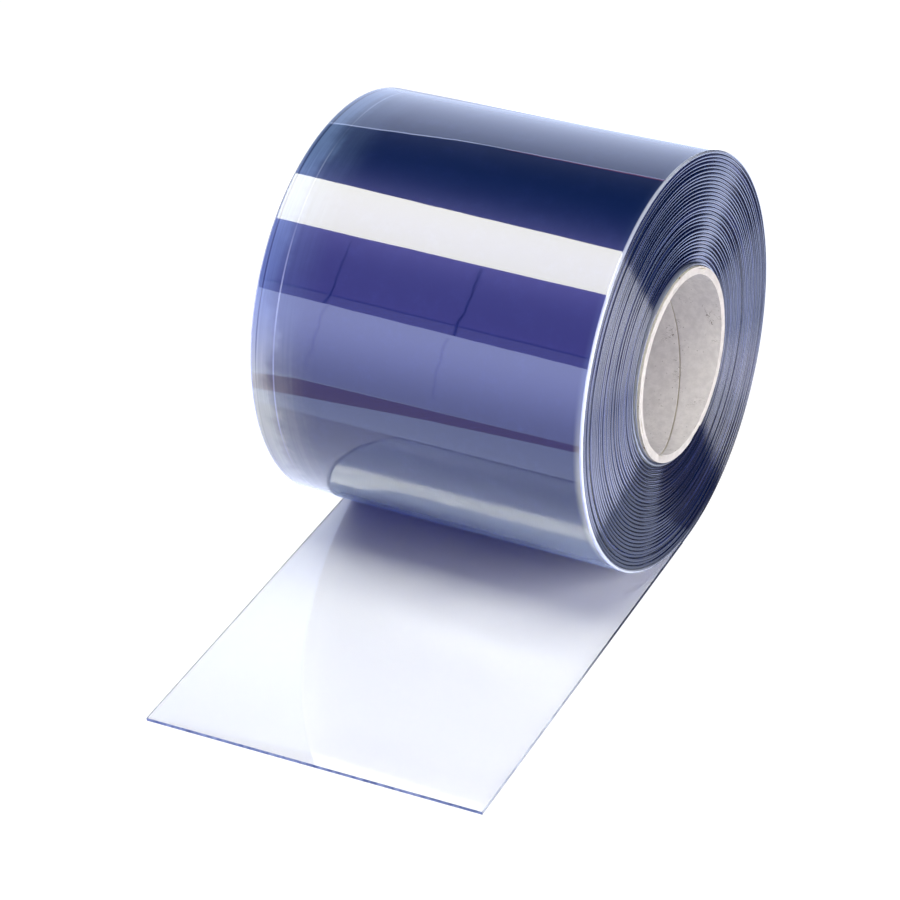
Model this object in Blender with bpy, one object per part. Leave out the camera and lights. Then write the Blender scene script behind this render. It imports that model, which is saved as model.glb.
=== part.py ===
"""A roll of clear strip-curtain PVC, wound on a spiral board core, with its free end laid flat.

Lengths are in metres. X runs along the roll's axis, Y from the free end towards the back of the
roll and Z up. The origin is on the floor, below the middle of the roll.
"""

import math

import bmesh
import bpy
import numpy as np

# The strip
STRIP_WIDTH = 0.300
STRIP_THICKNESS = 0.003
EDGE_ROUND = 0.001

# The winding: one strip in a spiral, flat where the roll stands on it
LOOP_COUNT = 24
LOOP_GAP = 0.00087
TANGENT_RUN = 0.010

# The strip that lies flat in front of the roll
NIP_REACH = 0.060
BEND_CLEARANCE = 0.0125
FREE_END_LENGTH = 0.184
CUT_SKEW = 0.010
BUTT_GAP = 0.0003

# The core: plies of board, each a band wound in a helix with a butt seam
CORE_BORE_DIAMETER = 0.150
CORE_OVERHANG = 0.0042
CORE_CLEARANCE = 0.0003
PLY_COUNT = 6
PLY_THICKNESS = 0.0008
PLY_GAP = 0.0003
PLY_LEAD = 0.120
PLY_SEAM = 0.0008
PLY_TIP = 0.002
LINER_SEAM_INSET = 0.0157
PLY_STAGGER_SHARE = 0.37

# Facets: every turned surface has its corners at the same angles, so that all of them nest
STEPS_PER_TURN = 36
EDGE_STEPS = 2
SMOOTH_BELOW = math.radians(30)

# Worked out from the sizes above
STEP_ANGLE = math.tau / STEPS_PER_TURN
CORNER_STRETCH = 1 / math.cos(STEP_ANGLE / 2)
LOOP_PITCH = STRIP_THICKNESS + LOOP_GAP
PLY_PITCH = PLY_THICKNESS + PLY_GAP
CORE_RADIUS = CORE_BORE_DIAMETER / 2 + PLY_COUNT * PLY_PITCH - PLY_GAP
CORE_LENGTH = STRIP_WIDTH + 2 * CORE_OVERHANG
WINDING_RADIUS = CORE_RADIUS + CORE_CLEARANCE
ROLL_RADIUS = WINDING_RADIUS + LOOP_COUNT * LOOP_PITCH + STRIP_THICKNESS
BEND_LINE = ROLL_RADIUS + BEND_CLEARANCE

# Colour, roughness and share of light let through
CLEAR_PVC = ((0.30, 0.34, 0.62), 0.06, 0.55)
LAID_PVC = ((0.86, 0.88, 0.97), 0.06, 0.85)
LINER_BOARD = ((0.50, 0.48, 0.45), 0.90, 0.0)
BODY_BOARD = ((0.62, 0.57, 0.48), 0.92, 0.0)
OUTER_BOARD = ((0.66, 0.63, 0.57), 0.88, 0.0)


def clear_scene():
    for thing in list(bpy.data.objects):
        bpy.data.objects.remove(thing, do_unlink=True)


def finish(name, colour, roughness, transmission):
    """A plain finish for one sub-part."""
    material = bpy.data.materials.new(name + "_finish")
    material.use_nodes = True
    shader = material.node_tree.nodes["Principled BSDF"]
    shader.inputs["Base Color"].default_value = (*colour, 1.0)
    shader.inputs["Roughness"].default_value = roughness
    shader.inputs["Metallic"].default_value = 0.0
    shader.inputs["Transmission Weight"].default_value = transmission
    return material


def axis_empty(name, location):
    """An empty on the axis that its children turn or travel with."""
    empty = bpy.data.objects.new(name, None)
    empty.location = location
    bpy.context.collection.objects.link(empty)
    return empty


def sub_part(name, bm, looks, parent=None):
    """Makes a mesh into one named object, with its faces out and its curves smooth."""
    bmesh.ops.recalc_face_normals(bm, faces=bm.faces)
    mesh = bpy.data.meshes.new(name)
    bm.to_mesh(mesh)
    bm.free()
    mesh.shade_smooth()
    mesh.set_sharp_from_angle(angle=SMOOTH_BELOW)
    mesh.materials.append(finish(name, *looks))
    part = bpy.data.objects.new(name, mesh)
    part.parent = parent
    bpy.context.collection.objects.link(part)
    return part


def around(radius, angle):
    """A corner (y, z) about the roll's axis. The angle runs from the bottom towards the back.

    The radius is that of the flats, so the corners lie a little further out.
    """
    reach = radius * CORNER_STRETCH
    return reach * math.sin(angle), -reach * math.cos(angle)


def corner_angle(step):
    return (step + 0.5) * STEP_ANGLE


def winding_outline():
    """Points (y, z) on the outer and the inner face of the strip, from its flat run inwards."""
    floor = -ROLL_RADIUS
    outer = [(-TANGENT_RUN, floor)]
    inner = [(-TANGENT_RUN, floor + STRIP_THICKNESS)]
    for step in range(LOOP_COUNT * STEPS_PER_TURN + 1):
        radius = ROLL_RADIUS - LOOP_PITCH * step / STEPS_PER_TURN
        outer.append(around(radius, corner_angle(step)))
        inner.append(around(radius - STRIP_THICKNESS, corner_angle(step)))
    return np.array(outer), np.array(inner)


def distance_to_runs(points, starts, ends):
    """The distance from each point to the straight run beside it in the same row."""
    along = ends - starts
    share = ((points - starts) * along).sum(axis=1) / (along * along).sum(axis=1)
    nearest = starts + np.clip(share, 0, 1)[:, None] * along
    return np.linalg.norm(points - nearest, axis=1)


def least_loop_gap(outer, inner):
    """The least distance from one loop's inner face to the outer face of the loop inside it.

    Of two straight runs that face each other, an end of one lies nearest to the other.
    """
    inside, around_it = outer[STEPS_PER_TURN:], inner[: len(inner) - STEPS_PER_TURN]
    gaps = []
    for ends, runs in ((inside, around_it), (around_it, inside)):
        gaps.append(distance_to_runs(ends[:-1], runs[:-1], runs[1:]).min())
        gaps.append(distance_to_runs(ends[1:], runs[:-1], runs[1:]).min())
    return min(gaps)


def make_winding(parent):
    """The wound strip: a ribbon of faces along the spiral, extruded to the strip's width."""
    outer, inner = winding_outline()
    print(f"strip_winding: least gap between its loops {least_loop_gap(outer, inner) * 1000:.2f} mm")
    bm = bmesh.new()
    side = -STRIP_WIDTH / 2
    outer_row = [bm.verts.new((side, y, z)) for y, z in outer]
    inner_row = [bm.verts.new((side, y, z)) for y, z in inner]
    ribbon = [
        bm.faces.new((outer_row[i], outer_row[i + 1], inner_row[i + 1], inner_row[i]))
        for i in range(len(outer_row) - 1)
    ]
    grown = bmesh.ops.extrude_face_region(bm, geom=ribbon, use_keep_orig=True)
    far_side = [item for item in grown["geom"] if isinstance(item, bmesh.types.BMVert)]
    bmesh.ops.translate(bm, vec=(STRIP_WIDTH, 0, 0), verts=far_side)
    return sub_part("strip_winding", bm, CLEAR_PVC, parent)


def loft(sections):
    """A closed solid through sections of equally many points."""
    bm = bmesh.new()
    rings = [[bm.verts.new(point) for point in section] for section in sections]
    count = len(rings[0])
    for ring, following in zip(rings, rings[1:]):
        for i in range(count):
            j = (i + 1) % count
            bm.faces.new((ring[i], ring[j], following[j], following[i]))
    bm.faces.new(rings[0])
    bm.faces.new(rings[-1])
    return bm


def strip_profile():
    """The strip's cross-section (x, z), with rounded long edges."""
    profile = []
    across, up = STRIP_WIDTH / 2 - EDGE_ROUND, STRIP_THICKNESS - EDGE_ROUND
    corners = ((across, EDGE_ROUND), (across, up), (-across, up), (-across, EDGE_ROUND))
    for quarter, (x, z) in enumerate(corners):
        for i in range(EDGE_STEPS + 1):
            angle = (quarter - 1 + i / EDGE_STEPS) * math.pi / 2
            profile.append((x + EDGE_ROUND * math.cos(angle), z + EDGE_ROUND * math.sin(angle)))
    return profile


def make_run(name, near, far, looks, parent=None, skew=0.0):
    """A flat run of strip on the floor, from near to far in front of the roll.

    Its far edge may be cut askew. With a parent its mesh is placed from the parent's origin.
    """
    origin = parent.location if parent else (0, 0, 0)
    sections = []
    for reach, slant in ((near, 0.0), (far, skew)):
        sections.append(
            [
                (x - origin[0], slant * x / STRIP_WIDTH - reach - origin[1], z - origin[2])
                for x, z in strip_profile()
            ]
        )
    return sub_part(name, loft(sections), looks, parent)


def make_ply(name, index, looks, parent):
    """One ply of the core: a band of board that winds to the left, its own edge butted to itself."""
    inner_radius = CORE_BORE_DIAMETER / 2 + index * PLY_PITCH
    end = CORE_LENGTH / 2
    first_seam = end - LINER_SEAM_INSET - index * PLY_STAGGER_SHARE * PLY_LEAD
    turns = math.ceil(CORE_LENGTH / PLY_LEAD) + PLY_COUNT
    sections = []
    for step in range(-turns * STEPS_PER_TURN, turns * STEPS_PER_TURN):
        angle = corner_angle(step)
        seam = first_seam - PLY_LEAD * angle / math.tau
        right = min(seam - PLY_SEAM / 2, end)
        left = max(seam - PLY_LEAD + PLY_SEAM / 2, -end)
        if right - left < PLY_TIP:
            continue
        low = around(inner_radius, angle)
        high = around(inner_radius + PLY_THICKNESS, angle)
        sections.append([(left, *low), (right, *low), (right, *high), (left, *high)])
    return sub_part(name, loft(sections), looks, parent)


def make_core(parent):
    for index in range(PLY_COUNT):
        if index == 0:
            make_ply("core_inner_ply", index, LINER_BOARD, parent)
        elif index == PLY_COUNT - 1:
            make_ply("core_outer_ply", index, OUTER_BOARD, parent)
        else:
            make_ply(f"core_body_ply_{index}", index, BODY_BOARD, parent)


def main():
    clear_scene()
    roll_axis = axis_empty("roll_axis", (0, 0, ROLL_RADIUS))
    bend_axis = axis_empty("bend_axis", (0, -BEND_LINE, STRIP_THICKNESS))
    make_winding(roll_axis)
    make_core(roll_axis)
    make_run("strip_nip", TANGENT_RUN + BUTT_GAP, NIP_REACH, LAID_PVC)
    make_run("strip_laid", NIP_REACH + BUTT_GAP, BEND_LINE - BUTT_GAP / 2, LAID_PVC)
    free_start = BEND_LINE + BUTT_GAP / 2
    make_run("strip_free_end", free_start, BEND_LINE + FREE_END_LENGTH, LAID_PVC, bend_axis, CUT_SKEW)


main()
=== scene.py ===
"""A roll of clear, blue-tinted strip-curtain PVC on a spiral board core, its free end laid flat.

Lengths are in metres. X runs along the roll's axis, Y from the free end towards the back of the
roll and Z up. Angles about the axis run from the bottom of the roll towards its back.
"""

import math

import bmesh
import bpy
import numpy as np
from bpy.props import FloatProperty, FloatVectorProperty, PointerProperty
from mathutils import Matrix, Vector


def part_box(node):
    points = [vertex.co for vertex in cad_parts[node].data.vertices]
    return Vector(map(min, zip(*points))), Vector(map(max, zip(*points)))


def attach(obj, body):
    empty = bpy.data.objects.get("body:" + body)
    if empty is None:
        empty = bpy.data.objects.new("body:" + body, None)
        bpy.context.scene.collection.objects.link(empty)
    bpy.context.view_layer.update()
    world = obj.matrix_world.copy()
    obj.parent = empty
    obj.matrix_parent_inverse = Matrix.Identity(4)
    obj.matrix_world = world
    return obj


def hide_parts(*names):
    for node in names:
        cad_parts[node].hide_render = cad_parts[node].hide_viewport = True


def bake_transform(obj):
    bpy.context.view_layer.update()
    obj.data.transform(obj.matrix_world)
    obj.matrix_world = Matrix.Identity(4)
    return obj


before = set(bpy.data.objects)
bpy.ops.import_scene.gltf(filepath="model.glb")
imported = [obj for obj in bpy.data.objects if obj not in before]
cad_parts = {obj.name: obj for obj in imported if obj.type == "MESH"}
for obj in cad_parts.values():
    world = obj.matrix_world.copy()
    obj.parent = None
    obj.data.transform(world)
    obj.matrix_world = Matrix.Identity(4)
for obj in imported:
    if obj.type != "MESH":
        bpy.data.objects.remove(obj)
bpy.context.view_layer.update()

bl_info = {
    "name": "Strip curtain roll",
    "version": (1, 0, 0),
    "blender": (4, 5, 0),
    "location": "View3D > Sidebar > Strip Roll",
    "description": "Dresses a packed roll of strip-curtain PVC with its winding, laid strip and core",
    "category": "Object",
}

LINER_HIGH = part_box("core_inner_ply")[1]
OUTER_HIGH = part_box("core_outer_ply")[1]
NIP_LOW, NIP_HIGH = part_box("strip_nip")
FREE_LOW, FREE_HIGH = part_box("strip_free_end")
AXIS_HEIGHT = 0.17748
CORE_END = LINER_HIGH[0]
CORE_OUTSIDE = OUTER_HIGH[2] - AXIS_HEIGHT

# How finely the meshes are made
STEPS_PER_TURN = 160
PLY_STEPS_PER_TURN = 120
EDGE_STEPS = 3
NIP_ROWS = 8
LAID_ROWS = 48

# The degrees between two faces from which their edge is sharp
SHARP_FROM = 50.0

# Small sizes
CORE_CLEARANCE = 0.0003
TIP_CLEARANCE = 0.00005
TIP_THICKNESS = 0.00002
TURN_SQUEEZE = 0.00002
WOUND_SUPPORT = 0.0012
LAID_SUPPORT = 0.0010
LAID_EDGE_ROUND = 0.0005
LONG_EDGE_DEPTH = 0.0008
CAD_PLY_THICKNESS = 0.0008
PLY_EDGE_ROUND = 0.00012
PLY_SUPPORT = 0.0005
LEAST_PLY_WIDTH = 0.002
FLOOR_DROP = 0.0006

# Colours of the board in the core's wall
BODY_BOARD = (0.62, 0.57, 0.48)
FACE_BOARD = (0.66, 0.63, 0.57)

# Colours of the stage
BLACK = (0.002, 0.005, 0.012)
DUSK = (0.80, 0.64, 1.95)
PALE_FLOOR = (1.95, 2.25, 3.0)
PALE_WALL = (0.8, 0.92, 1.25)
FRONT_FADE = (0.0, 0.58, 2.7, 6.2)


class StripRollStrip(bpy.types.PropertyGroup):
    width: FloatProperty(
        name="Width", description="Width of the strip", default=0.300, unit="LENGTH"
    )
    thickness: FloatProperty(
        name="Thickness", description="Thickness of the strip", default=0.0030, unit="LENGTH"
    )
    edge_round: FloatProperty(
        name="Edge Round", description="Radius of the strip's long edges", default=0.0012, unit="LENGTH"
    )
    turns: FloatProperty(name="Turns", description="Turns wound on the core", default=31.1)
    air: FloatProperty(
        name="Air", description="Air between one turn and the next", default=0.00006, unit="LENGTH"
    )
    lead_in: FloatProperty(
        name="Lead In",
        description="How much the first quarter turn tightens onto the turn below it",
        default=0.0004,
        unit="LENGTH",
    )
    wander: FloatProperty(
        name="Wander", description="How far a turn strays sideways", default=0.0008, unit="LENGTH"
    )
    inner_drift: FloatProperty(
        name="Inner Drift",
        description="How far the first turn on the core stands out at the right end",
        default=0.0018,
        unit="LENGTH",
    )
    cut_skew: FloatProperty(
        name="Cut Skew", description="How far the end's cut is out of square", default=0.010, unit="LENGTH"
    )
    depth_colour: FloatVectorProperty(
        name="Depth Colour",
        description="Colour of many turns lying over each other",
        subtype="COLOR",
        size=3,
        min=0,
        max=1,
        default=(0.0015, 0.0070, 0.040),
    )
    edge_colour: FloatVectorProperty(
        name="Edge Colour",
        description="Colour of the strip's edges in the winding",
        subtype="COLOR",
        size=3,
        min=0,
        max=1,
        default=(0.028, 0.038, 0.13),
    )
    # Colour of the painted glow low down near the ends of the roll, which stands for light that the turns
    # carry
    painted_glow_colour: FloatVectorProperty(
        name="Glow Colour",
        description="Colour of the light that the turns carry near the ends of the roll",
        subtype="COLOR",
        size=3,
        min=0,
        max=1,
        default=(0.72, 0.71, 0.48),
    )
    sheen_tint: FloatVectorProperty(
        name="Sheen Tint",
        description="Tint of the soft reflection from the turns below the surface",
        subtype="COLOR",
        size=3,
        min=0,
        max=1,
        default=(0.30, 0.26, 1.0),
    )
    clear_tint: FloatVectorProperty(
        name="Clear Tint",
        description="Tint of one layer of the strip",
        subtype="COLOR",
        size=3,
        min=0,
        max=1,
        default=(0.945, 0.95, 0.98),
    )
    cut_colour: FloatVectorProperty(
        name="Cut Colour",
        description="Colour of the cut end, seen along the strip",
        subtype="COLOR",
        size=3,
        min=0,
        max=1,
        default=(0.06, 0.10, 0.25),
    )


class StripRollCore(bpy.types.PropertyGroup):
    ply_thickness: FloatProperty(
        name="Ply Thickness", description="Thickness of one board ply", default=0.00095, unit="LENGTH"
    )
    lead: FloatProperty(
        name="Lead", description="How far a ply's seam travels in one turn", default=0.120, unit="LENGTH"
    )
    seam: FloatProperty(
        name="Seam", description="Gap between a ply's own edges", default=0.0012, unit="LENGTH"
    )
    liner_seam_inset: FloatProperty(
        name="Liner Seam Inset",
        description="Distance from the right end to the liner's seam at the bottom",
        default=0.0157,
        unit="LENGTH",
    )
    stagger: FloatProperty(
        name="Stagger", description="Share of the lead by which each ply's seam is set off", default=0.37
    )
    fray: FloatProperty(
        name="Fray", description="Roughness of the sawn ends", default=0.00025, unit="LENGTH"
    )
    liner_colour: FloatVectorProperty(
        name="Liner Colour",
        description="Colour of the board in the bore",
        subtype="COLOR",
        size=3,
        min=0,
        max=1,
        default=(0.70, 0.672, 0.682),
    )
    sawn_colour: FloatVectorProperty(
        name="Sawn Colour",
        description="Colour of the sawn ends",
        subtype="COLOR",
        size=3,
        min=0,
        max=1,
        default=(0.62, 0.587, 0.585),
    )


class StripRollStage(bpy.types.PropertyGroup):
    lamp_level: FloatProperty(
        name="Lamp Level", description="Strength of the lamps, as a share of their plain level", default=1.0
    )
    surround_level: FloatProperty(
        name="Surround Level", description="Strength of the even light from all round", default=0.12
    )


def settings():
    return bpy.context.scene.strip_roll_strip, bpy.context.scene.strip_roll_core


# Nodes


def add(tree, kind, inputs=None, **fields):
    """Adds a shader node. An input is a plain value or another node's socket."""
    made = tree.nodes.new("ShaderNode" + kind)
    for name, value in fields.items():
        setattr(made, name, value)
    for socket, value in (inputs or {}).items():
        if isinstance(value, bpy.types.NodeSocket):
            tree.links.new(value, made.inputs[socket])
        else:
            made.inputs[socket].default_value = value
    return made


def maths(tree, operation, first, second=0.0):
    return add(tree, "Math", {0: first, 1: second}, operation=operation).outputs[0]


def times(tree, first, second):
    return maths(tree, "MULTIPLY", first, second)


def blend(tree, share, first, second, how="MIX"):
    """Mixes two colours."""
    made = add(tree, "Mix", {0: share, 6: first, 7: second}, data_type="RGBA", blend_type=how)
    return made.outputs[2]


def ease(tree, value, low, high, to_low=0.0, to_high=1.0):
    """Runs smoothly from one value to the other as the input goes from low to high."""
    made = add(
        tree,
        "MapRange",
        {0: value, 1: low, 2: high, 3: to_low, 4: to_high},
        interpolation_type="SMOOTHSTEP",
    )
    return made.outputs[0]


def place(tree):
    """The point's place on the object, as X, Y and Z."""
    where = add(tree, "TexCoord").outputs["Object"]
    return where, add(tree, "SeparateXYZ", {0: where}).outputs


def attribute(tree, name):
    return add(tree, "Attribute", attribute_name=name).outputs["Fac"]


def grain(tree, where, scale, detail=4.0, roughness=0.6):
    made = add(tree, "TexNoise", {"Vector": where, "Scale": scale, "Detail": detail, "Roughness": roughness})
    return made.outputs[0]


def wobble(tree, where, scale, detail, reach):
    """Noise about zero, in metres, that makes a border ragged."""
    return times(tree, maths(tree, "SUBTRACT", grain(tree, where, scale, detail=detail), 0.5), reach)


def stripe(tree, across, centre, faded_at, full_at):
    """1 on a thin line round the roll, and 0 away from it."""
    off = maths(tree, "ABSOLUTE", maths(tree, "ADD", across, -centre))
    return ease(tree, off, faded_at, full_at)


def rgba(colour):
    return (*colour, 1.0)


def new_material(name):
    material = bpy.data.materials.new(name)
    material.use_nodes = True
    material.node_tree.nodes.clear()
    return material, material.node_tree


def output(tree, shader):
    add(tree, "OutputMaterial", {"Surface": shader})


def effect_group(name, inputs, outputs):
    """A node group with named sockets. Gives the group and its two end nodes."""
    group = bpy.data.node_groups.new(name, "ShaderNodeTree")
    for socket, kind in inputs:
        group.interface.new_socket(name=socket, in_out="INPUT", socket_type="NodeSocket" + kind)
    for socket, kind in outputs:
        group.interface.new_socket(name=socket, in_out="OUTPUT", socket_type="NodeSocket" + kind)
    return group, group.nodes.new("NodeGroupInput"), group.nodes.new("NodeGroupOutput")


def use_group(tree, group, inputs=None):
    made = tree.nodes.new("ShaderNodeGroup")
    made.node_tree = group
    for socket, value in (inputs or {}).items():
        if isinstance(value, bpy.types.NodeSocket):
            tree.links.new(value, made.inputs[socket])
        else:
            made.inputs[socket].default_value = value
    return made.outputs


def streak_group():
    """Fine streaks that run along the strip, as left by the rollers that polished it."""
    found = bpy.data.node_groups.get("roller_streaks")
    if found:
        return found
    group, given, out = effect_group(
        "roller_streaks",
        [("Across", "Float"), ("Along", "Float"), ("Fineness", "Float")],
        [("Mask", "Float"), ("Height", "Float")],
    )

    def pulled_out(across_scale, along_scale, detail, roughness=0.6):
        across = times(group, given.outputs["Across"], across_scale)
        along = times(group, given.outputs["Along"], along_scale)
        spot = add(group, "CombineXYZ", {0: across, 1: along}).outputs[0]
        return grain(group, spot, 1.0, detail, roughness)

    streaks = pulled_out(given.outputs["Fineness"], 3.0, 5.0, 0.62)
    group.links.new(ease(group, streaks, 0.36, 0.66), out.inputs["Mask"])
    group.links.new(pulled_out(22.0, 14.0, 1.0), out.inputs["Height"])
    return group


def board_group():
    """Recycled board: a mottled grey with specks and short dark fibres."""
    found = bpy.data.node_groups.get("recycled_board")
    if found:
        return found
    group, given, out = effect_group(
        "recycled_board",
        [("Colour", "Color"), ("Strength", "Float")],
        [("Colour", "Color"), ("Height", "Float")],
    )
    plain = given.outputs["Colour"]
    where = add(group, "TexCoord").outputs["Object"]
    fine = grain(group, where, 1400.0, detail=3.0)
    mottle = grain(group, where, 160.0, detail=5.0)
    lighter = blend(group, 1.0, plain, (1.10, 1.10, 1.09, 1.0), "MULTIPLY")
    darker = blend(group, 1.0, plain, (0.91, 0.905, 0.90, 1.0), "MULTIPLY")
    colour = blend(group, ease(group, mottle, 0.3, 0.7), darker, lighter)
    colour = blend(group, ease(group, fine, 0.25, 0.75, 0.0, 0.35), colour, darker)

    cells = add(group, "TexVoronoi", {"Vector": where, "Scale": 330.0, "Randomness": 1.0})
    in_places = ease(group, grain(group, where, 95.0, detail=1.0), 0.52, 0.62)
    specks = times(group, ease(group, cells.outputs["Distance"], 0.16, 0.05), in_places)
    pulled = add(group, "Mapping", {"Vector": where, "Rotation": (0.6, 0.4, 0.9), "Scale": (1.0, 6.0, 1.0)})
    hair = add(
        group,
        "TexNoise",
        {"Vector": pulled.outputs[0], "Scale": 140.0, "Detail": 1.0, "Distortion": 0.8},
    )
    off_half = maths(group, "ABSOLUTE", maths(group, "SUBTRACT", hair.outputs[0], 0.5))
    sparse = ease(group, grain(group, where, 60.0, detail=1.0), 0.60, 0.68)
    fibres = times(group, ease(group, off_half, 0.012, 0.002), sparse)
    marks = times(group, maths(group, "MAXIMUM", specks, fibres), given.outputs["Strength"])
    mark_colour = (0.10, 0.075, 0.055, 1.0)
    group.links.new(blend(group, marks, colour, mark_colour), out.inputs["Colour"])
    group.links.new(maths(group, "ADD", fine, times(group, mottle, 0.6)), out.inputs["Height"])
    return group


def wound_material():
    """Clear PVC many turns deep: dark blue, with a sharp gloss and a soft reflection below it.

    Near the left end of the roll the turns lie apart, and the stack of them reflects as a pale mirror. The
    colour also holds painted light: a glow near both ends and low down, highlight and dark lines, and a rim
    light.
    """
    strip, _ = settings()
    material, tree = new_material("wound_pvc")
    where, axes = place(tree)
    across, height = axes[0], axes[2]
    left_end, right_end = -strip.width / 2, strip.width / 2
    low_down = ease(tree, height, 0.28, 0.16)
    along = attribute(tree, "along")
    streaks = use_group(tree, streak_group(), {"Across": across, "Along": along, "Fineness": 150.0})

    # Painted glow at both ends, wide and ragged at the left and narrow at the right, standing for light that
    # the stack of turns carries
    ragged = maths(tree, "ADD", across, wobble(tree, where, 28.0, 3.0, 0.026))
    left = maths(
        tree,
        "ADD",
        ease(tree, ragged, left_end + 0.028, left_end + 0.009, 0.0, 0.64),
        ease(tree, ragged, left_end + 0.062, left_end + 0.016, 0.0, 0.28),
    )
    # The painted glow at the left end is streaked along the strip
    left = times(tree, left, ease(tree, streaks["Mask"], 0.0, 1.0, 0.72, 1.0))
    right = ease(tree, across, right_end - 0.0080, right_end - 0.0010)
    right = times(tree, right, ease(tree, height, 0.33, 0.18, 0.12, 1.0))
    painted_glow = maths(tree, "MAXIMUM", left, times(tree, right, 0.6))
    # Colour of the painted glow: bluish high up, the glow colour low down, and dimmer and greyer close to
    # the floor
    painted_glow_high = (0.09, 0.14, 0.28, 1.0)
    painted_glow_by_floor = (0.17, 0.19, 0.23, 1.0)
    tone = blend(tree, low_down, painted_glow_high, rgba(strip.painted_glow_colour))
    tone = blend(tree, ease(tree, height, 0.03, 0.15), painted_glow_by_floor, tone)
    cloudy = ease(tree, grain(tree, where, 55.0, detail=6.0, roughness=0.72), 0.45, 0.85)
    cloud_colour = (0.005, 0.012, 0.058, 1.0)
    depth = blend(tree, cloudy, rgba(strip.depth_colour), cloud_colour)
    colour = blend(tree, painted_glow, depth, tone)

    # Painted highlight lines and a painted dark line, where edges of the turns below show through; the
    # highlights are stronger low down and the dark line weaker there
    woven = maths(tree, "ADD", across, wobble(tree, where, 4.0, 1.0, 0.008))
    painted_highlight_lines = maths(
        tree,
        "MAXIMUM",
        stripe(tree, woven, left_end + 0.0215, 0.0010, 0.0003),
        stripe(tree, across, left_end + 0.0018, 0.0007, 0.0002),
    )
    painted_highlight_lines = times(tree, painted_highlight_lines, ease(tree, streaks["Height"], 0.35, 0.60, 0.05, 0.36))
    painted_highlight_lines = times(tree, painted_highlight_lines, ease(tree, height, 0.32, 0.27, 0.35, 1.0))
    colour = blend(tree, painted_highlight_lines, colour, (0.60, 0.66, 0.86, 1.0))
    painted_dark_line = stripe(tree, woven, left_end + 0.0048, 0.0010, 0.0004)
    painted_dark_line = times(tree, painted_dark_line, ease(tree, low_down, 0.1, 0.9, 0.8, 0.15))
    # Painted darkening along the last millimetre of the left end, joined with the painted dark line
    painted_dark_edge = ease(tree, across, left_end + 0.0012, left_end + 0.0006)
    painted_dark_edge = maths(tree, "MAXIMUM", painted_dark_edge, painted_dark_line)
    colour = blend(tree, painted_dark_edge, colour, (0.004, 0.012, 0.05, 1.0))
    # Painted rim light along the right edge of the outermost turn, where the pale attribute marks it as lit
    rim_light = ease(tree, across, right_end - 0.0021, right_end - 0.0012)
    rim_light = times(tree, rim_light, attribute(tree, "pale"))
    colour = blend(tree, rim_light, colour, (0.56, 0.60, 0.74, 1.0))

    off_floor = ease(tree, height, 0.07, 0.17, 0.05, 1.0)
    mirror = times(tree, times(tree, left, low_down), times(tree, off_floor, 0.32))
    bump = add(tree, "Bump", {"Strength": 0.35, "Distance": 0.0003, "Height": streaks["Height"]}).outputs[0]
    shader = add(
        tree,
        "BsdfPrincipled",
        {
            "Base Color": colour,
            "Metallic": mirror,
            "Roughness": 0.37,
            "IOR": 1.38,
            "Specular Tint": rgba(strip.sheen_tint),
            "Coat Weight": 1.0,
            "Coat Roughness": 0.02,
            "Coat IOR": 1.56,
            "Coat Normal": bump,
        },
    )
    output(tree, shader.outputs[0])
    return material


def turn_edge_material():
    """The edges of the turns, which make the roll's end face: navy, with a single clear gloss."""
    strip, _ = settings()
    material, tree = new_material("turn_edge_pvc")
    bands = add(tree, "CombineXYZ", {0: times(tree, attribute(tree, "along"), 2.2)}).outputs[0]
    patchy = ease(tree, grain(tree, bands, 1.0, detail=4.0), 0.48, 0.72)
    navy = blend(tree, patchy, rgba(strip.depth_colour), rgba(strip.edge_colour))
    # Painted light on the lit edges of the outermost and innermost turns, where the pale attribute is set
    lit_edge = (0.62, 0.67, 0.82, 1.0)
    colour = blend(tree, attribute(tree, "pale"), navy, lit_edge)
    shader = add(
        tree,
        "BsdfPrincipled",
        {"Base Color": colour, "Roughness": ease(tree, patchy, 0.0, 1.0, 0.12, 0.20), "IOR": 1.52},
    )
    output(tree, shader.outputs[0])
    return material


def let_lamps_through(tree, shader, tint):
    """The same shader, but rays that look for a lamp pass through it."""
    through = add(tree, "BsdfTransparent", {"Color": rgba(tint)})
    shadow = add(tree, "LightPath").outputs["Is Shadow Ray"]
    return add(tree, "MixShader", {0: shadow, 1: shader.outputs[0], 2: through.outputs[0]}).outputs[0]


def clear_material():
    """One layer of clear PVC, which lets lamps through to the floor."""
    strip, _ = settings()
    material, tree = new_material("laid_pvc")
    glass = add(
        tree,
        "BsdfPrincipled",
        {
            "Base Color": rgba(strip.clear_tint),
            "Roughness": 0.02,
            "IOR": 1.54,
            "Transmission Weight": 1.0,
        },
    )
    output(tree, let_lamps_through(tree, glass, strip.clear_tint))
    return material


def cut_material():
    """The strip's cut end, where the light has come a long way through the blue."""
    strip, _ = settings()
    material, tree = new_material("cut_edge_pvc")
    where, _ = place(tree)
    saw = grain(tree, where, 160.0, detail=3.0)
    torn = (0.24, 0.30, 0.46, 1.0)
    colour = blend(tree, ease(tree, saw, 0.35, 0.65), rgba(strip.cut_colour), torn)
    shader = add(
        tree,
        "BsdfPrincipled",
        {"Base Color": colour, "Roughness": 0.25, "IOR": 1.5, "Coat Weight": 0.5, "Coat Roughness": 0.1},
    )
    output(tree, let_lamps_through(tree, shader, strip.clear_tint))
    return material


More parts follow.
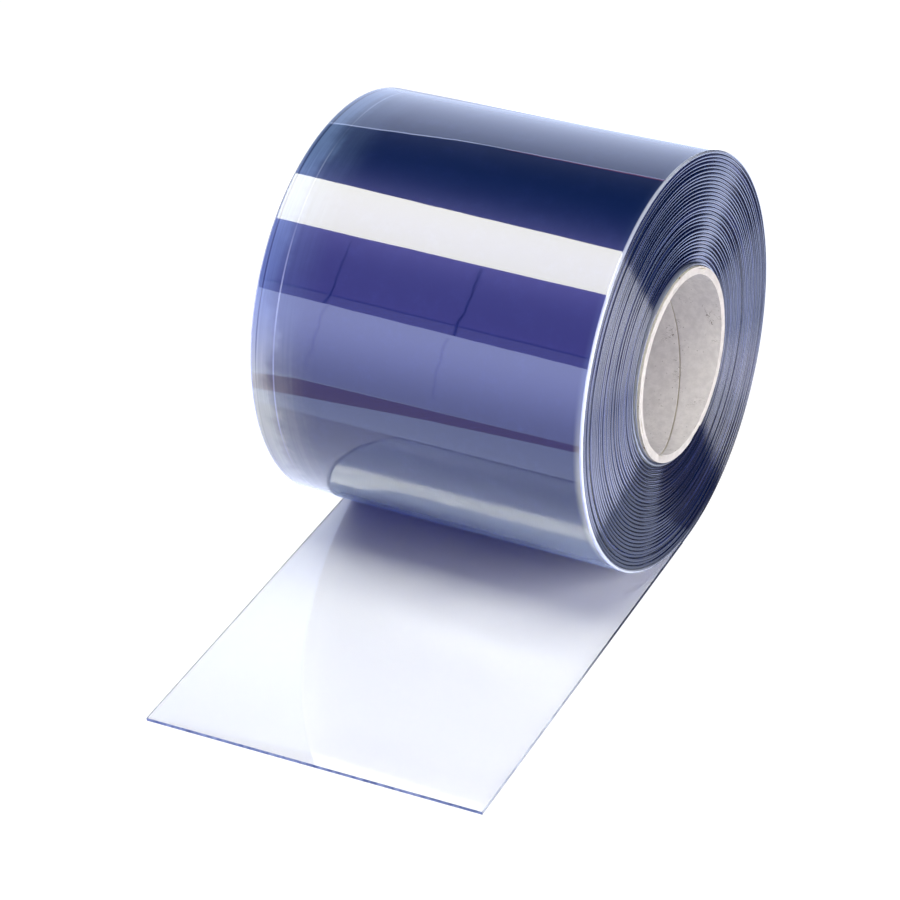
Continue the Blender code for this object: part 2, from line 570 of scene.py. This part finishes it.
def side_material():
    """The strip's right-hand long edge: deep blue with painted shade by the roll, paler towards the free
    end, away from that shade.
    """
    strip, _ = settings()
    material, tree = new_material("long_edge_pvc")
    where, axes = place(tree)
    mottle = grain(tree, where, 60.0, detail=2.0)
    free_end = blend(tree, ease(tree, mottle, 0.3, 0.7), (0.27, 0.29, 0.37, 1.0), (0.42, 0.45, 0.54, 1.0))
    # Painted shade on the edge where the roll shades the strip; lighter towards the free end
    painted_shade_by_roll = (0.004, 0.007, 0.026, 1.0)
    colour = blend(tree, ease(tree, axes[1], -0.26, -0.13), free_end, painted_shade_by_roll)
    shader = add(tree, "BsdfPrincipled", {"Base Color": colour, "Roughness": 0.35, "IOR": 1.2})
    output(tree, let_lamps_through(tree, shader, strip.clear_tint))
    return material


def butt_material():
    """The ends inside the unbroken strip, which don't show, because one piece goes on into the next."""
    strip, _ = settings()
    material, tree = new_material("butt_pvc")
    shader = add(tree, "BsdfPrincipled", {"Base Color": rgba(strip.clear_tint), "Alpha": 0.0})
    output(tree, shader.outputs[0])
    return material


def board_material(name, colour, strength):
    """Board with its sawn ends paler than its faces, and torn a little beside them."""
    _, core = settings()
    material, tree = new_material(name)
    where, axes = place(tree)
    outwards = maths(tree, "ABSOLUTE", axes[0])
    sawn = maths(tree, "ADD", outwards, wobble(tree, where, 420.0, 3.0, 0.0016))
    sawn = ease(tree, sawn, CORE_END - 0.0011, CORE_END - 0.0003)
    torn = maths(tree, "ADD", outwards, wobble(tree, where, 150.0, 4.0, 0.014))
    torn = ease(tree, torn, CORE_END + 0.0006, CORE_END + 0.0012)
    board = use_group(tree, board_group(), {"Colour": rgba(colour), "Strength": strength})
    pale = use_group(tree, board_group(), {"Colour": rgba(core.sawn_colour), "Strength": 0.25})
    torn_colour = (0.24, 0.15, 0.10, 1.0)
    edged = blend(tree, torn, board["Colour"], torn_colour)
    bump = add(tree, "Bump", {"Strength": 0.35, "Distance": 0.0003, "Height": board["Height"]}).outputs[0]
    shader = add(
        tree,
        "BsdfPrincipled",
        {
            "Base Color": blend(tree, sawn, edged, pale["Colour"]),
            "Roughness": 0.92,
            "Specular IOR Level": 0.25,
            "Normal": bump,
        },
    )
    output(tree, shader.outputs[0])
    return material


# Meshes


def rolled_sheet(name, sections, attributes=None):
    """A closed band through sections of equally many points.

    A flat grid is rolled round the sections, its seam is welded, and both ends are capped.
    """
    rows, count = len(sections), len(sections[0])
    bm = bmesh.new()
    bmesh.ops.create_grid(bm, x_segments=count, y_segments=rows - 1, size=1.0)
    corner = np.array([v.co[:2] for v in bm.verts])
    column = np.rint((corner[:, 0] + 1) / 2 * count).astype(int) % count
    row = np.rint((corner[:, 1] + 1) / 2 * (rows - 1)).astype(int)
    points = np.array(sections, float)[row, column]
    mesh = bpy.data.meshes.new(name)
    bm.to_mesh(mesh)
    mesh.vertices.foreach_set("co", points.ravel())
    for label, values in (attributes or {}).items():
        layer = mesh.attributes.new(label, "FLOAT", "POINT")
        layer.data.foreach_set("value", np.array(values, float)[row, column].astype(np.float32))
    bm.clear()
    bm.from_mesh(mesh)
    seam = [v for v, c in zip(bm.verts, corner) if abs(abs(c[0]) - 1) < 1e-6]
    bmesh.ops.remove_doubles(bm, verts=seam, dist=1e-7)
    bmesh.ops.holes_fill(bm, edges=[e for e in bm.edges if e.is_boundary], sides=count)
    bmesh.ops.recalc_face_normals(bm, faces=bm.faces)
    bm.to_mesh(mesh)
    bm.free()
    mesh.shade_smooth()
    mesh.set_sharp_from_angle(angle=math.radians(SHARP_FROM))
    made = bpy.data.objects.new(name, mesh)
    bpy.context.collection.objects.link(made)
    return made


def flat_profile(width, thickness, edge_round, corner_steps, support):
    """Points (across, up) round the strip's cross-section, anticlockwise from the lower right.

    The support is how far from a rounded corner the next point of a flat side lies.
    """
    points = []
    reach, high = width / 2 - edge_round, thickness - edge_round
    centres = ((reach, edge_round), (reach, high), (-reach, high), (-reach, edge_round))
    for quarter, (x, z) in enumerate(centres):
        inward = x - math.copysign(support, x)
        if quarter in (0, 2):
            points.append((inward, 0.0 if quarter == 0 else thickness))
        for i in range(corner_steps + 1):
            angle = (quarter - 1 + i / corner_steps) * math.pi / 2
            points.append((x + edge_round * math.cos(angle), z + edge_round * math.sin(angle)))
        if quarter in (1, 3):
            points.append((inward, thickness if quarter == 1 else 0.0))
    return points


def wave(rng, length, stations_per_knot):
    """A smooth random line, one value for each station."""
    knots = rng.uniform(-1, 1, int(length / stations_per_knot) + 4)
    at = np.arange(length) / stations_per_knot
    i = at.astype(int)
    f = at - i
    f = f * f * (3 - 2 * f)
    return knots[i] * (1 - f) + knots[i + 1] * f


def smooth_share(value, low, high):
    share = min(max((value - low) / (high - low), 0.0), 1.0)
    return share * share * (3 - 2 * share)


def painted_edge_light(angle, last):
    """How much painted light the strip's edge gets, for an angle along the winding and the angle of its
    inner end.

    It is painted pale on the outermost turn, where that meets the light, and on the innermost one.
    """
    settle = smooth_share(angle, 0.0, math.pi / 2)
    towards_light = 0.4 * smooth_share(angle, 2.4, 3.1) + 0.6 * smooth_share(angle, 3.6, 4.2)
    towards_light -= 0.75 * smooth_share(angle, 5.6, 6.0)
    first_turn = 1 - smooth_share(angle, math.tau, 1.06 * math.tau)
    outermost = (0.12 * settle + 0.88 * towards_light) * first_turn
    innermost = smooth_share(angle, last - 1.45 * math.tau, last - 1.25 * math.tau)
    return max(outermost, 0.30 * innermost)


def wind_strip():
    """The wound strip, from its flat run on the floor to its inner end on the core.

    The last turn thins to almost nothing, so that it closes the step at the strip's inner end.
    """
    strip, _ = settings()
    start = NIP_HIGH[1]
    outer = AXIS_HEIGHT
    inner = CORE_OUTSIDE + CORE_CLEARANCE
    thickness = strip.thickness
    pitch = (outer - strip.lead_in - inner - thickness - strip.air) / (strip.turns - 1)
    profile = flat_profile(strip.width, thickness, strip.edge_round, EDGE_STEPS, WOUND_SUPPORT)
    stations = int(strip.turns * STEPS_PER_TURN) + 1
    last = strip.turns * math.tau
    rng = np.random.default_rng(7)
    count = stations + 2
    slow, quick, tight = (STEPS_PER_TURN * share for share in (0.8, 0.13, 0.31))
    stray = 0.8 * wave(rng, count, slow) + 0.2 * wave(rng, count, quick)
    squeeze = wave(rng, count, tight)
    sections, along, pale = [], [], []
    travelled = 0.0
    for y in (start, start / 2):
        sections.append([(x, y, z) for x, z in profile])
        along.append([start - y] * len(profile))
        pale.append([0.0] * len(profile))
    for station in range(stations):
        angle = station * math.tau / STEPS_PER_TURN
        loose = min(angle, 1.0)
        radius = outer - strip.lead_in * smooth_share(angle, 0.0, math.pi / 2) - pitch * angle / math.tau
        radius += TURN_SQUEEZE * squeeze[station] * loose
        drift = strip.inner_drift * smooth_share(angle, last - 1.55 * math.tau, last - 1.15 * math.tau)
        sideways = strip.wander * stray[station] * loose + drift
        height = max(min(thickness, radius - inner - TIP_CLEARANCE), TIP_THICKNESS)
        sine, cosine = math.sin(angle), math.cos(angle)
        section = []
        for x, up in profile:
            at = radius - up * height / thickness
            section.append((x + sideways, at * sine, AXIS_HEIGHT - at * cosine))
        sections.append(section)
        along.append([travelled] * len(profile))
        # Painted edge light, kept in the pale attribute, fuller on the turn's outer half
        level = painted_edge_light(angle, last)
        pale.append([level if up < thickness / 2 else 0.3 * level for _, up in profile])
        travelled += radius * math.tau / STEPS_PER_TURN
    made = rolled_sheet("wound_strip", sections, {"along": along, "pale": pale})
    made.data.materials.append(wound_material())
    made.data.materials.append(turn_edge_material())
    around = len(profile)
    across = [abs(profile[i][0] + profile[(i + 1) % around][0]) / 2 for i in range(around)]
    edge_columns = {i for i in range(around) if across[i] > strip.width / 2 - strip.edge_round}
    for face in made.data.polygons:
        if face.index < around * (len(sections) - 1) and face.index % around in edge_columns:
            face.material_index = 1
    return made


def lay_run(name, near, far, skew, rows):
    """A flat run of the strip on the floor, with its cut or butted ends."""
    strip, _ = settings()
    profile = flat_profile(strip.width, strip.thickness, LAID_EDGE_ROUND, EDGE_STEPS, LAID_SUPPORT)
    sections = []
    for i in range(rows + 1):
        share = i / rows
        y = near + (far - near) * share
        sections.append([(x, y + skew * x / strip.width * share, z) for x, z in profile])
    return rolled_sheet(name, sections)


def dress_edges(made, has_cut):
    """Gives the cut end, the butted ends and the right-hand long edge their own finishes."""
    strip, _ = settings()
    for material in (clear_material(), cut_material(), side_material(), butt_material()):
        made.data.materials.append(material)
    cut, side, butt = 1, 2, 3
    half = strip.width / 2
    for face in made.data.polygons:
        if face.normal.x > 0.3 and abs(face.center.x - half) < LONG_EDGE_DEPTH:
            face.material_index = side
        elif has_cut and face.normal.y < -0.9:
            face.material_index = cut
        elif abs(face.normal.y) > 0.9:
            face.material_index = butt


def wind_ply(index, name, material, inner_radius):
    """One ply of the core: a band of board wound in a helix, butted to itself."""
    _, core = settings()
    first_seam = CORE_END - core.liner_seam_inset - index * core.stagger * core.lead
    turns = math.ceil(2 * CORE_END / core.lead) + 6
    steps = turns * PLY_STEPS_PER_TURN
    rng = np.random.default_rng(31 + index)
    fray = rng.uniform(-1, 0, 2 * steps + 1) * core.fray
    low, high = inner_radius, inner_radius + core.ply_thickness
    sections = []
    for step in range(-steps, steps):
        angle = step * math.tau / PLY_STEPS_PER_TURN
        seam = first_seam - core.lead * angle / math.tau
        right = min(seam - core.seam / 2, CORE_END + fray[step])
        left = max(seam - core.lead + core.seam / 2, -CORE_END - fray[step - 1])
        if right - left < LEAST_PLY_WIDTH:
            continue
        ring = (
            (left + PLY_EDGE_ROUND, low),
            (left + PLY_SUPPORT, low),
            (right - PLY_SUPPORT, low),
            (right - PLY_EDGE_ROUND, low),
            (right, low + PLY_EDGE_ROUND),
            (right, high - PLY_EDGE_ROUND),
            (right - PLY_EDGE_ROUND, high),
            (right - PLY_SUPPORT, high),
            (left + PLY_SUPPORT, high),
            (left + PLY_EDGE_ROUND, high),
            (left, high - PLY_EDGE_ROUND),
            (left, low + PLY_EDGE_ROUND),
        )
        sections.append([(x, r * math.sin(angle), AXIS_HEIGHT - r * math.cos(angle)) for x, r in ring])
    made = rolled_sheet(name, sections)
    made.data.materials.append(material)
    return made


class StripRollStageOperator(bpy.types.Operator):
    """Makes the floor, the lamps, the cards that the gloss reflects, and the camera"""

    bl_idname = "strip_roll.stage"
    bl_label = "Make Stage"

    def execute(self, context):
        make_floor()
        make_world()
        make_lamps()
        make_cards()
        make_camera()
        return {"FINISHED"}


class StripRollWindingOperator(bpy.types.Operator):
    """Winds the strip on its core"""

    bl_idname = "strip_roll.winding"
    bl_label = "Wind Strip"

    def execute(self, context):
        made = wind_strip()
        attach(made, "roll")
        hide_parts("strip_winding")
        return {"FINISHED"}


class StripRollLaidOperator(bpy.types.Operator):
    """Lays the strip's free end on the floor"""

    bl_idname = "strip_roll.laid"
    bl_label = "Lay Strip"

    def execute(self, context):
        strip, _ = settings()
        nip = lay_run("strip_by_roll", NIP_HIGH[1], NIP_LOW[1], 0.0, NIP_ROWS)
        dress_edges(nip, has_cut=False)
        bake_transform(nip)
        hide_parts("strip_nip")
        cut = FREE_LOW[1] + strip.cut_skew / 2
        free = lay_run("strip_laid_flat", NIP_LOW[1], cut, strip.cut_skew, LAID_ROWS)
        dress_edges(free, has_cut=True)
        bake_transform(free)
        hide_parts("strip_laid", "strip_free_end")
        return {"FINISHED"}


class StripRollCoreOperator(bpy.types.Operator):
    """Winds the six board plies of the core"""

    bl_idname = "strip_roll.core"
    bl_label = "Wind Core"

    def execute(self, context):
        _, core = settings()
        liner = board_material("liner_board", core.liner_colour, 1.0)
        body = board_material("body_board", BODY_BOARD, 0.6)
        face = board_material("face_board", FACE_BOARD, 0.6)
        plies = [("liner_ply", "core_inner_ply", liner, "board_liner")]
        plies += [(f"body_ply_{i}", f"core_body_ply_{i}", body, "board_body") for i in range(1, 5)]
        plies += [("face_ply", "core_outer_ply", face, "board_face")]
        bore = LINER_HIGH[2] - AXIS_HEIGHT - CAD_PLY_THICKNESS
        pitch = (CORE_OUTSIDE - bore - CAD_PLY_THICKNESS) / (len(plies) - 1)
        for index, (name, node, look, slot) in enumerate(plies):
            made = wind_ply(index, name, look, bore + index * pitch)
            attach(made, "roll")
            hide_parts(node)
        return {"FINISHED"}


# Stage


def stage_object(name, mesh, material):
    made = bpy.data.objects.new(name, mesh)
    mesh.materials.append(material)
    bpy.context.collection.objects.link(made)
    return made


def seen_directly(tree):
    """1 for rays that come from the camera by gloss or glass alone, and 0 for those that light things."""
    path = add(tree, "LightPath").outputs
    seen = maths(tree, "MAXIMUM", path["Is Camera Ray"], path["Is Glossy Ray"])
    seen = maths(tree, "MAXIMUM", seen, path["Is Transmission Ray"])
    lighting = maths(tree, "MINIMUM", path["Diffuse Depth"], 1.0)
    return maths(tree, "SUBTRACT", seen, maths(tree, "MINIMUM", seen, lighting)), path


def make_floor():
    """A white floor that keeps the object's shadow, more of it under the clear strip."""
    bm = bmesh.new()
    bmesh.ops.create_grid(bm, x_segments=1, y_segments=1, size=8.0)
    bmesh.ops.translate(bm, vec=(0, 0, -FLOOR_DROP), verts=bm.verts)
    mesh = bpy.data.meshes.new("floor")
    bm.to_mesh(mesh)
    bm.free()
    material, tree = new_material("floor_white")
    seen, path = seen_directly(tree)
    through = path["Is Transmission Ray"]
    above = maths(tree, "SUBTRACT", seen, maths(tree, "MINIMUM", seen, through))
    mirrored = maths(tree, "MINIMUM", path["Glossy Depth"], 1.0)
    matt_colour = blend(tree, mirrored, (0.90, 0.905, 0.92, 1.0), (1.08, 1.26, 1.55, 1.0))
    matt = add(tree, "BsdfDiffuse", {"Color": matt_colour}).outputs[0]
    gloss_only = maths(tree, "SUBTRACT", path["Is Glossy Ray"], through)
    gloss_only = maths(tree, "MAXIMUM", gloss_only, 0.0)
    white_tone = blend(tree, gloss_only, (1.18, 1.18, 1.18, 1.0), (0.75, 0.82, 1.05, 1.0))
    white = add(tree, "Emission", {"Color": white_tone, "Strength": 1.0}).outputs[0]
    output(tree, add(tree, "MixShader", {0: times(tree, above, 0.80), 1: matt, 2: white}).outputs[0])
    stage_object("floor", mesh, material)


def make_world():
    world = bpy.data.worlds.new("surround")
    bpy.context.scene.world = world
    world.use_nodes = True
    tree = world.node_tree
    tree.nodes.clear()
    seen, _ = seen_directly(tree)
    level = bpy.context.scene.strip_roll_stage.surround_level
    strength = add(tree, "MapRange", {0: seen, 1: 0.0, 2: 1.0, 3: level, 4: 1.0}).outputs[0]
    tone = blend(tree, seen, (0.75, 0.85, 1.6, 1.0), (1.0, 1.0, 1.0, 1.0))
    back = add(tree, "Background", {"Color": tone, "Strength": strength}).outputs[0]
    add(tree, "OutputWorld", {"Surface": back})


def lamp(name, place_at, target, size, power, colour):
    """A soft lamp that gloss doesn't see, because the cards stand for it there."""
    light = bpy.data.lights.new(name, "AREA")
    light.shape = "RECTANGLE"
    light.size, light.size_y = size
    light.energy = power * bpy.context.scene.strip_roll_stage.lamp_level
    light.color = colour
    made = bpy.data.objects.new(name, light)
    made.location = place_at
    made.rotation_euler = (Vector(target) - Vector(place_at)).to_track_quat("-Z", "Y").to_euler()
    made.visible_glossy = False
    made.visible_camera = False
    bpy.context.collection.objects.link(made)


def make_lamps():
    lamp("lamp_above", (-0.2, -0.37, 1.5), (-0.2, -0.369, 0), (1.9, 0.65), 27.8, (1.0, 0.985, 0.81))
    lamp("lamp_right", (1.35, -0.25, 0.55), (0.1, 0, 0.12), (0.8, 0.8), 17, (1.0, 0.98, 0.93))
    lamp("lamp_front", (-0.5, -1.5, 0.35), (0, -0.1, 0.05), (0.9, 0.3), 8, (0.12, 0.15, 1.0))


def card(name, corners, colour, strength, fade=None):
    """A card that only gloss sees, as a lamp's cloth or a black flag beside the object."""
    bm = bmesh.new()
    bm.faces.new([bm.verts.new(corner) for corner in corners])
    mesh = bpy.data.meshes.new(name)
    bm.to_mesh(mesh)
    bm.free()
    material, tree = new_material(name)
    level = strength
    if fade:
        low, high, at_low, at_high = fade
        _, axes = place(tree)
        level = ease(tree, axes[2], low, high, at_low * strength, at_high * strength)
    seen, _ = seen_directly(tree)
    level = times(tree, seen, level)
    output(tree, add(tree, "Emission", {"Color": rgba(colour), "Strength": level}).outputs[0])
    made = stage_object(name, mesh, material)
    made.visible_camera = False
    made.visible_diffuse = False
    made.visible_shadow = False
    made.visible_volume_scatter = False


def floor_card(name, corners, colour, height=0.002):
    card(name, [(x, y, height) for x, y in corners], colour, 1.0)


def line_card(name, middle, half_width, colour, fade=None):
    """A thin card along a bent line."""
    sides = [(x - half_width, y, z) for x, y, z in middle]
    sides += [(x + half_width, y, z) for x, y, z in reversed(middle)]
    card(name, sides, colour, 1.0, fade)


def make_floor_cards():
    """What the gloss sees of the floor beside the roll, pale in places and shaded by the roll."""
    maroon_band = [
        (-0.46, -0.78),
        (0, -0.819),
        (0, -0.72),
        (-0.083, -0.671),
        (-0.214, -0.605),
        (-0.32, -0.508),
        (-0.46, -0.40),
    ]
    floor_card("maroon_band", maroon_band, (0.85, 0.58, 0.60), 0.004)
    front = [(-1.6, -0.82), (0.9, -0.82), (0.9, -0.384), (-1.6, -0.384)]
    floor_card("front_floor", front, PALE_FLOOR)
    left = [(-1.6, -0.384), (-0.153, -0.384), (-0.153, 0.0), (-1.6, 0.3)]
    floor_card("left_floor", left, (1.45, 1.57, 1.95))
    right = [(0.235, -1.5), (1.69, -1.5), (1.69, 0.90), (0.235, 0.12)]
    floor_card("right_floor", right, (4.4, 4.7, 6.4))
    floor_card("back_floor", [(-0.4, 0.24), (0.31, 0.24), (0.50, 1.04), (-0.4, 1.04)], (2.1, 2.4, 3.4))
    bright = [(0.10, 0.15), (0.29, 0.27), (0.27, 0.30), (0.10, 0.24)]
    floor_card("bright_floor", bright, (2.9, 3.0, 4.0), 0.003)
    shade = [
        (0.10, 0.005),
        (0.17, 0.005),
        (0.20, 0.068),
        (0.24, 0.05),
        (0.62, 0.30),
        (0.75, 0.50),
        (1.69, 0.86),
        (1.69, 1.04),
        (0.50, 1.04),
        (0.43, 0.70),
        (0.37, 0.53),
        (0.335, 0.42),
        (0.29, 0.27),
        (0.20, 0.165),
        (0.10, 0.15),
    ]
    floor_card("floor_shade", shade, (0.22, 0.18, 0.15), 0.004)


def make_front_cards():
    """The dark upper part of what the gloss sees in front of the roll, with two thin lines down it."""
    dark = {
        "front_flag": [(-2.1, -1.0, 0.3), (1.3, -1.0, 0.3), (1.3, -0.90, 1.68), (-2.1, -0.90, 1.68)],
        "front_roof": [(-2.1, -1.0, 1.68), (1.3, -1.0, 1.68), (1.3, -0.55, 1.62), (-2.1, -0.55, 1.62)],
    }
    for name, corners in dark.items():
        card(name, corners, DUSK, 1.0)
    step = [(-1.6, -0.89, 0.4), (0.9, -0.89, 0.4), (0.9, -0.89, 0.56), (-1.6, -0.89, 0.86)]
    card("front_step", step, (0.95, 0.85, 2.0), 1.0)
    rail = [(-1.6, -0.89, 0.86), (0.9, -0.89, 0.56), (0.9, -0.89, 0.575), (-1.6, -0.89, 0.875)]
    card("front_rail", rail, (0.35, 0.3, 1.1), 1.0)
    poles = {
        "left_pole": [
            (-0.528, 0.593),
            (-0.548, 0.719),
            (-0.570, 0.827),
            (-0.618, 0.999),
            (-0.706, 1.251),
            (-0.856, 1.614),
        ],
        "right_pole": [
            (-0.363, 0.60),
            (-0.3735, 0.673),
            (-0.406, 0.849),
            (-0.467, 1.076),
            (-0.550, 1.323),
            (-0.652, 1.590),
        ],
    }
    for name, bend in poles.items():
        line_card(name, [(x, -0.88 + 0.135 * (z - 0.6), z) for x, z in bend], 0.0012, BLACK)
    feet = {
        "left_foot": [(-0.491, 0.607), (-0.455, 0.409), (-0.445, 0.245), (-0.457, 0.067)],
        "right_foot": [(-0.328, 0.556), (-0.302, 0.375), (-0.296, 0.210), (-0.301, 0.090)],
    }
    for name, bend in feet.items():
        line_card(name, [(x, -0.812, z) for x, z in bend], 0.0015, (0.52, 0.56, 0.88), FRONT_FADE)


def make_back_cards():
    """Dark flags above, behind and at both ends of the roll, and pale cards before two of them."""
    flags = {
        "top_flag": [(-2.1, -1.0, 1.7), (1.7, -1.0, 1.7), (1.7, 1.05, 1.7), (-2.1, 1.05, 1.7)],
        "back_flag": [(-2.1, 1.05, 0.0), (1.7, 1.05, 0.0), (1.7, 1.05, 1.75), (-2.1, 1.05, 1.75)],
        "left_flag": [(-2.1, -1.0, 0.0), (-2.1, 1.05, 0.0), (-2.1, 1.05, 1.75), (-2.1, -1.0, 1.75)],
        "right_flag": [(1.7, -1.8, 0.0), (1.7, 1.05, 0.0), (1.7, 1.05, 1.75), (1.7, -1.8, 1.75)],
    }
    for name, corners in flags.items():
        card(name, corners, BLACK, 1.0)
    right = [(-1.1, 0), (0.72, 0), (0.43, 0.44), (0.25, 0.79), (0.11, 1.1), (-1.1, 1.1)]
    card("right_card", [(1.3, y, z) for y, z in right], (0.95, 0.97, 1.05), 10.0)
    rise = [(-2.0, 1.60), (-1.02, 1.50), (-0.985, 1.38), (-0.75, 1.185), (-0.643, 1.10), (-0.15, 1.06)]
    back = [(-2.1, 1.60), (-2.1, 0.0), (-0.15, 0.0), *reversed(rise)]
    card("back_card", [(x, 1.0, z) for x, z in back], PALE_WALL, 1.35, fade=(1.25, 1.50, 1.0, 0.5))
    ridge = rise[2:]
    trim = [(x, 0.99, z - 0.002) for x, z in ridge]
    trim += [(x, 0.99, z + 0.004 - 0.018 * x) for x, z in reversed(ridge)]
    card("back_trim", trim, (0.8, 0.92, 1.3), 4.2)
    reddish = [(-0.60, 1.112), (-0.15, 1.075), (-0.15, 1.10), (-0.60, 1.120)]
    card("back_line", [(x, 0.985, z) for x, z in reddish], (0.80, 0.12, 0.22), 2.4)


def make_cards():
    """What the gloss sees round the roll: a soft box above, pale cards and dark flags."""
    soft_box = [(-1.1, 0.098, 1.5), (0.25, -0.245, 1.5), (0.25, -0.786, 1.5), (-1.1, -0.592, 1.5)]
    card("soft_box", soft_box, (1.06, 1.05, 0.85), 14.0)
    front = [(-1.6, -0.82, 0), (0.9, -0.82, 0), (0.9, -0.82, 0.44), (-1.6, -0.82, 0.74)]
    card("front_card", front, (0.62, 0.68, 1.03), 1.0, fade=FRONT_FADE)
    make_floor_cards()
    make_front_cards()
    make_back_cards()


def make_camera():
    data = bpy.data.cameras.new("camera")
    data.lens = 118.87
    data.sensor_width = 36.0
    data.shift_x = -0.03781
    data.shift_y = -0.06410
    data.clip_end = 50.0
    right = Vector((0.87882, 0.47003, -0.08207))
    forward = Vector((-0.42761, 0.69952, -0.57255)).normalized()
    right = (right - forward * right.dot(forward)).normalized()
    up = right.cross(forward)
    turn = Matrix((right, up, -forward)).transposed()
    made = bpy.data.objects.new("camera", data)
    made.matrix_world = Matrix.Translation((1.04658, -1.77211, 1.55135)) @ turn.to_4x4()
    bpy.context.collection.objects.link(made)
    bpy.context.scene.camera = made
    bpy.context.scene.view_settings.view_transform = "Standard"


class StripRollPanel(bpy.types.Panel):
    """Lists the sizes and colours of the roll and the operators that make its pieces"""

    bl_idname = "STRIP_ROLL_PT_panel"
    bl_label = "Strip Roll"
    bl_space_type = "VIEW_3D"
    bl_region_type = "UI"
    bl_category = "Strip Roll"

    def draw(self, context):
        column = self.layout.column()
        scene = context.scene
        for group in (scene.strip_roll_strip, scene.strip_roll_core, scene.strip_roll_stage):
            for name in group.bl_rna.properties.keys():
                if name not in ("rna_type", "name"):
                    column.prop(group, name)
        for operator in OPERATORS:
            column.operator(operator.bl_idname)


GROUPS = {
    "strip_roll_strip": StripRollStrip,
    "strip_roll_core": StripRollCore,
    "strip_roll_stage": StripRollStage,
}
OPERATORS = (
    StripRollStageOperator,
    StripRollWindingOperator,
    StripRollLaidOperator,
    StripRollCoreOperator,
)


def register():
    for kind in (*GROUPS.values(), *OPERATORS, StripRollPanel):
        bpy.utils.register_class(kind)
    for name, kind in GROUPS.items():
        setattr(bpy.types.Scene, name, PointerProperty(type=kind))


def unregister():
    for name in GROUPS:
        delattr(bpy.types.Scene, name)
    for kind in (StripRollPanel, *OPERATORS, *GROUPS.values()):
        bpy.utils.unregister_class(kind)


def main():
    register()
    bpy.ops.strip_roll.stage()
    bpy.ops.strip_roll.winding()
    bpy.ops.strip_roll.laid()
    bpy.ops.strip_roll.core()


if __name__ == "__main__":
    main()
